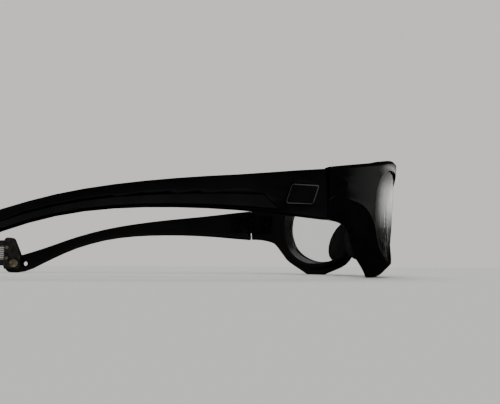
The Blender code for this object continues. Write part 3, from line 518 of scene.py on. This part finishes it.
def wrap_normals(item):
    """Gives both skins of a lens level normals, straight out from the wrap's line, so it mirrors without facets."""
    mesh = item.data
    normals = [None] * len(mesh.loops)
    for face in mesh.polygons:
        for index in face.loop_indices:
            point = mesh.vertices[mesh.loops[index].vertex_index].co
            radial = away_from_wrap(point)
            lean = face.normal.dot(radial)
            normals[index] = radial * math.copysign(1, lean) if abs(lean) > WRAP_LEAN else face.normal
    mesh.normals_split_custom_set(normals)
    return item


def stand_for(item, node):
    """A piece takes the place of a CAD node."""
    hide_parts(node)
    return item


def eased_node(node, material, width, steps=EASED_STEPS):
    """A CAD node's surface with rounded edges, in its material."""
    shape = ease(node_shape(node), width, steps)
    return stand_for(add_piece(f"{node}_moulding", shape, material, riding_body(node)), node)


def largest_face(shape):
    """The largest face of a bmesh."""
    return max(shape.faces, key=lambda face: face.calc_area())


def keep_modified(item):
    """Applies an object's modifiers, and gives its new mesh."""
    bpy.context.view_layer.update()
    evaluated = item.evaluated_get(bpy.context.evaluated_depsgraph_get())
    mesh = bpy.data.meshes.new_from_object(evaluated)
    item.modifiers.clear()
    item.data = mesh
    return mesh


def recessed_screw(node, reach, width, depth):
    """A screw with a rounded head and a cross recess."""
    shape = node_shape(node)
    head = largest_face(shape)
    centre = head.calc_center_median()
    turn = Vector((0, 0, 1)).rotation_difference(head.normal).to_matrix().to_4x4()
    ease(shape, SCREW_ROUNDING)
    screw = add_piece(f"{node}_turned", shape, STEEL, riding_body(node))
    cross = bmesh.new()
    for quarter in (0, 1):
        made = bmesh.ops.create_cube(cross, size=1.0)["verts"]
        bmesh.ops.scale(cross, verts=made, vec=(2 * reach, width, 2 * depth))
        bmesh.ops.rotate(cross, verts=made, matrix=Matrix.Rotation(math.pi / 2 * quarter, 3, "Z"))
        bmesh.ops.translate(cross, verts=made, vec=(0, 0, CROSS_STAGGER * quarter))
    bmesh.ops.transform(cross, matrix=Matrix.Translation(centre) @ turn, verts=cross.verts)
    tool = add_piece(f"{node}_recess_tool", cross, STEEL, None)
    cut = screw.modifiers.new("recess", "BOOLEAN")
    cut.operation = "DIFFERENCE"
    cut.solver = "EXACT"
    cut.use_self = True
    cut.object = tool
    mesh = keep_modified(screw)
    mesh.shade_smooth()
    mesh.set_sharp_from_angle(angle=SMOOTH_ANGLE)
    bpy.data.objects.remove(tool, do_unlink=True)
    return stand_for(screw, node)


def domed_pin(node, width):
    """A brass pin whose heads are rolled over."""
    shape = ease(node_shape(node), width, ROLLED_STEPS, ROLLED_ANGLE)
    return stand_for(add_piece(f"{node}_rolled", shape, BRASS, riding_body(node)), node)


def rimmed_badge(node):
    """The blank badge: a plate with a raised rim round a sunk field."""
    shape = node_shape(node)
    outward = math.copysign(1, largest_face(shape).calc_center_median().x)
    facing = [face for face in shape.faces if face.normal.x * outward > BADGE_FACING]
    field = max(facing, key=lambda face: face.calc_area())
    rim = bmesh.ops.inset_region(shape, faces=[field], thickness=BADGE_RIM, depth=0.0)["faces"]
    wall = bmesh.ops.inset_region(shape, faces=[field], thickness=BADGE_WALL, depth=-BADGE_SINK)["faces"]
    for face in rim + wall:
        face.material_index = 1
    ease(shape, BADGE_ROUNDING, EASED_STEPS, BADGE_ANGLE)
    plate = add_piece(f"{node}_plate", shape, POLISHED, riding_body(node))
    plate.data.materials.append(BADGE)
    return stand_for(plate, node)


# Front, lenses and nose pads
front = add_piece("front_moulding", node_shape("front_frame", TRULY_FLAT), POLISHED, "front", CRISP_ANGLE)
front.data.materials.append(SATIN)
for face in front.data.polygons:
    if face.normal.dot(away_from_wrap(face.center)) < BACK_LEAN:
        face.material_index = 1
stand_for(even_shading(front), "front_frame")
for side in SIDES:
    lens = add_piece(f"lens_{side}_polished", thin_lens(f"lens_{side}"), LENS, "front")
    stand_for(wrap_normals(lens), f"lens_{side}")
    pad = add_piece(f"nose_pad_{side}_moulding", node_shape(f"nose_pad_{side}"), PAD_RUBBER, "front")
    stand_for(pad, f"nose_pad_{side}")

# Temples with their grips and badges
for side in SIDES:
    shape = node_shape(f"temple_{side}", TRULY_FLAT)
    temple = add_piece(f"temple_{side}_moulding", shape, SATIN, f"temple_{side}")
    stand_for(even_shading(temple), f"temple_{side}")
    eased_node(f"temple_grip_{side}", GRIP_RUBBER, GRIP_ROUNDING)
    rimmed_badge(f"temple_badge_{side}")

# Hinges, screws, pins and clips
for side in SIDES:
    eased_node(f"front_leaf_{side}", STEEL, LEAF_ROUNDING)
    eased_node(f"temple_leaf_{side}", STEEL, LEAF_ROUNDING)
    recessed_screw(f"hinge_screw_{side}", *HINGE_SCREW_CROSS)
    for place in ("lower", "upper"):
        recessed_screw(f"front_leaf_screw_{place}_{side}", *LEAF_SCREW_CROSS)
        recessed_screw(f"temple_leaf_screw_{place}_{side}", *LEAF_SCREW_CROSS)
        domed_pin(f"clip_rivet_{place}_{side}", RIVET_ROUNDING)
    domed_pin(f"clip_pin_{side}", PIN_ROUNDING)
    eased_node(f"strap_clip_{side}", ACETAL, CLIP_ROUNDING, CLIP_STEPS)


# Head strap

def strap_middle(share, sign):
    """A point of the strap's middle line, from the clip at 0 to the middle plane at 1."""
    along = share * (len(STRAP_ROUTE) - 1)
    index = min(int(along), len(STRAP_ROUTE) - 2)
    part = along - index
    rows = [Vector(row) for row in STRAP_ROUTE]
    start, end = rows[index], rows[index + 1]
    before = rows[max(index - 1, 0)]
    after = rows[min(index + 2, len(rows) - 1)]
    slope_start = (end - before) / (2 if index > 0 else 1)
    slope_end = (after - start) / (2 if index + 2 < len(rows) else 1)
    square, cube = part ** 2, part ** 3
    row = (
        (2 * cube - 3 * square + 1) * start + (cube - 2 * square + part) * slope_start
        + (3 * square - 2 * cube) * end + (cube - square) * slope_end
    )
    sideways = max(CLIP_X * row.x, 0)
    height = STRAP_FROM + (STRAP_TO - STRAP_FROM) * row.z
    return Vector((sign * sideways, STRAP_START + STRAP_REACH * row.y, height))


def strap_ruler(sign):
    """The strap's length from the clip, in metres, at each share of its middle line."""
    places = [strap_middle(index / STRAP_SEGMENTS, sign) for index in range(STRAP_SEGMENTS + 1)]
    lengths = [0.0]
    for start, end in zip(places, places[1:]):
        lengths.append(lengths[-1] + (end - start).length)
    return lengths


def strap_piece(side, sign, ruler):
    """One half of the strap as a single sheet that ends at the middle plane, with its UV map in millimetres."""
    shape = bmesh.new()
    bmesh.ops.create_grid(shape, x_segments=STRAP_SEGMENTS, y_segments=STRAP_ROWS, size=0.5, calc_uvs=True)
    cloth = shape.loops.layers.uv.verify()
    for face in shape.faces:
        for loop in face.loops:
            index = round((loop.vert.co.x + 0.5) * STRAP_SEGMENTS)
            across = (loop.vert.co.y + 0.5) * STRAP_WIDTH
            loop[cloth].uv = (ruler[index] * MILLIMETRES, across * MILLIMETRES)
    for corner in shape.verts:
        share, across = corner.co.x + 0.5, corner.co.y
        corner.co = strap_middle(share, sign) + Vector((0, 0, across * STRAP_WIDTH))
    bmesh.ops.recalc_face_normals(shape, faces=shape.faces)
    sheet = add_piece(f"strap_{side}_webbing", shape, ELASTIC, f"strap_clip_{side}")
    sheet.data.uv_layers[0].name = "cloth"
    return sheet


def strap_surface(sign, ruler, from_middle, across, out):
    """A point beside the strap's middle line: a way back from the middle plane, up the cloth and out of it."""
    length = ruler[-1] - from_middle
    index = min(bisect.bisect_right(ruler, length) - 1, STRAP_SEGMENTS - 1)
    part = (length - ruler[index]) / (ruler[index + 1] - ruler[index])
    start = strap_middle(index / STRAP_SEGMENTS, sign)
    end = strap_middle((index + 1) / STRAP_SEGMENTS, sign)
    run = (end - start).normalized()
    outward = Vector((run.y, -run.x, 0)).normalized()
    return start.lerp(end, part) + outward * out + Vector((0, 0, across))


def stitch_row(shape, sign, ruler, place, face):
    """Adds one zigzag row of thread to a bmesh: it rises over the cloth and dips in at each needle hole."""
    height = STRAP_WIDTH - 2 * STITCH_MARGIN
    count = round(height / STITCH_PITCH)
    path = []
    for index in range(count * STITCH_SAMPLES + 1):
        along = index / STITCH_SAMPLES
        stitch = int(along) % 2
        swing = (along - int(along)) * (1 if stitch == 0 else -1) + stitch
        arch = math.sin(math.pi * (along - int(along)))
        out = face * (STRAP_THICKNESS / 2 - STITCH_SINK + (STITCH_SINK + STITCH_LIFT) * math.sqrt(arch))
        across = -height / 2 + height * along / count
        path.append(strap_surface(sign, ruler, place + STITCH_SWING * (swing - 0.5), across, out))
    rings = []
    for index, middle in enumerate(path):
        ahead = path[min(index + 1, len(path) - 1)] - path[max(index - 1, 0)]
        turn = Vector((0, 0, 1)).rotation_difference(ahead.normalized())
        ring = []
        for corner in range(THREAD_SIDES):
            angle = math.tau * corner / THREAD_SIDES
            spoke = Vector((math.cos(angle), math.sin(angle), 0)) * THREAD_RADIUS
            ring.append(shape.verts.new(middle + turn @ spoke))
        rings.append(ring)
    faces = [shape.faces.new(rings[0][::-1]), shape.faces.new(rings[-1])]
    for ring, following in zip(rings, rings[1:]):
        for corner in range(THREAD_SIDES):
            after = (corner + 1) % THREAD_SIDES
            faces.append(shape.faces.new((ring[corner], ring[after], following[after], following[corner])))
    for item in faces:
        item.material_index = 1
        item.smooth = True


for side, sign in SIGNS.items():
    ruler = strap_ruler(sign)
    strap = strap_piece(side, sign, ruler)
    wall = strap.modifiers.new("thickness", "SOLIDIFY")
    wall.thickness = STRAP_THICKNESS
    wall.offset = 0.0
    edge = strap.modifiers.new("selvedge", "BEVEL")
    edge.width = SELVEDGE_ROUNDING
    edge.segments = SELVEDGE_STEPS
    edge.limit_method = "ANGLE"
    edge.angle_limit = SELVEDGE_ANGLE
    mesh = keep_modified(strap)
    sewn = bmesh.new()
    sewn.from_mesh(mesh)
    for place in STITCH_PLACES:
        for face in (-1, 1):
            stitch_row(sewn, sign, ruler, place, face)
    bmesh.ops.recalc_face_normals(sewn, faces=sewn.faces)
    sewn.to_mesh(mesh)
    sewn.free()
    mesh.materials.append(THREAD)
    mesh.shade_smooth()
    mesh.set_sharp_from_angle(angle=CLOTH_ANGLE)
    stand_for(strap, f"strap_{side}")
    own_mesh(strap)


# Stage, light and camera

def pale_floor():
    """Plain pale matt floor: no gloss, so the goggles aren't mirrored in it."""
    values = {"Base Color": linear("#e4e4e0"), "Roughness": 1.0, "Specular IOR Level": 0.0}
    return new_material("pale_matt_floor", values)[0]


shape = bmesh.new()
bmesh.ops.create_grid(shape, x_segments=1, y_segments=1, size=FLOOR_SIZE)
floor = add_piece("floor", shape, pale_floor(), None)
floor.visible_glossy = False

world = bpy.data.worlds.new("studio")
bpy.context.scene.world = world
world.use_nodes = True
sky = world.node_tree
sky.nodes.clear()
direction = add_node(sky, "ShaderNodeTexCoord").outputs["Generated"]
backdrop = add_node(sky, "ShaderNodeBackground", values={"Color": linear("#c4c2be"), "Strength": BACKDROP})


def glow_towards(way, start, full, power):
    """The power of a soft patch of light, from how near a ray runs to the way to its middle."""
    nearness = add_node(
        sky, "ShaderNodeVectorMath", {"operation": "DOT_PRODUCT"}, {1: Vector(way).normalized()}, {0: direction}
    )
    patch = add_node(
        sky, "ShaderNodeMapRange", {"interpolation_type": "SMOOTHSTEP"},
        {"From Min": start, "From Max": full, "To Min": 0.0, "To Max": power},
        {"Value": nearness.outputs["Value"]},
    )
    return patch.outputs["Result"]


# the strip light stands ahead of the wearer, to the left: bright from 5 to 9 degrees up, and dark above and below
height = add_node(sky, "ShaderNodeSeparateXYZ", links={"Vector": direction}).outputs["Z"]
strip_rise = ramp(
    sky, math_node(sky, "MULTIPLY", height, RISE_SCALE),
    [(place, (level, level, level, 1.0)) for place, level in STRIP_PROFILE],
)
room_light = math_node(sky, "MULTIPLY", glow_towards(*STRIP), strip_rise)
for glow in GLOWS:
    room_light = math_node(sky, "ADD", room_light, glow_towards(*glow))
room = add_node(
    sky, "ShaderNodeBackground", values={"Color": linear("#f4f2ee")},
    links={"Strength": math_node(sky, "ADD", room_light, ROOM_DARK)},
)
# the pale backdrop is there for the eye, straight or through a lens, and isn't mirrored in the black plastic
path = add_node(sky, "ShaderNodeLightPath").outputs
straight = math_node(sky, "MAXIMUM", path["Is Camera Ray"], path["Is Transmission Ray"])
unmirrored = math_node(sky, "LESS_THAN", path["Glossy Depth"], MIRRORED)
sight = add_node(
    sky, "ShaderNodeMixShader",
    links={
        "Fac": math_node(sky, "MULTIPLY", straight, unmirrored), 1: room.outputs["Background"],
        2: backdrop.outputs["Background"],
    },
)
add_node(sky, "ShaderNodeOutputWorld", links={"Surface": sight.outputs["Shader"]})


def soft_lamp(name, energy, turn):
    """A wide, soft lamp that lights matt surfaces and isn't mirrored."""
    lamp = bpy.data.lights.new(name, "SUN")
    lamp.energy = energy
    lamp.angle = LAMP_SPREAD
    placed = bpy.data.objects.new(name, lamp)
    placed.rotation_euler = turn
    placed.visible_glossy = False
    bpy.context.scene.collection.objects.link(placed)


soft_lamp("overhead_softbox", OVERHEAD_ENERGY, OVERHEAD_TURN)
soft_lamp("side_softbox", SIDE_ENERGY, SIDE_TURN)

ahead = Vector((
    math.cos(CAMERA_PITCH) * math.cos(CAMERA_YAW), -math.cos(CAMERA_PITCH) * math.sin(CAMERA_YAW),
    math.sin(CAMERA_PITCH),
))
right = ahead.cross(Vector((0, 0, 1))).normalized()
above = right.cross(ahead)
right_rolled = math.cos(CAMERA_ROLL) * right + math.sin(CAMERA_ROLL) * above
above_rolled = -math.sin(CAMERA_ROLL) * right + math.cos(CAMERA_ROLL) * above
turn = Matrix((right_rolled, above_rolled, -ahead)).transposed().to_4x4()
camera_data = bpy.data.cameras.new("camera")
camera_data.sensor_width = SENSOR_WIDTH
camera_data.lens = FOCAL_LENGTH
camera_data.clip_start = CLIP_NEAR
camera_data.clip_end = CLIP_FAR
camera = bpy.data.objects.new("camera", camera_data)
camera.matrix_world = Matrix.Translation(CAMERA_PLACE) @ turn
bpy.context.scene.collection.objects.link(camera)
bpy.context.scene.camera = camera
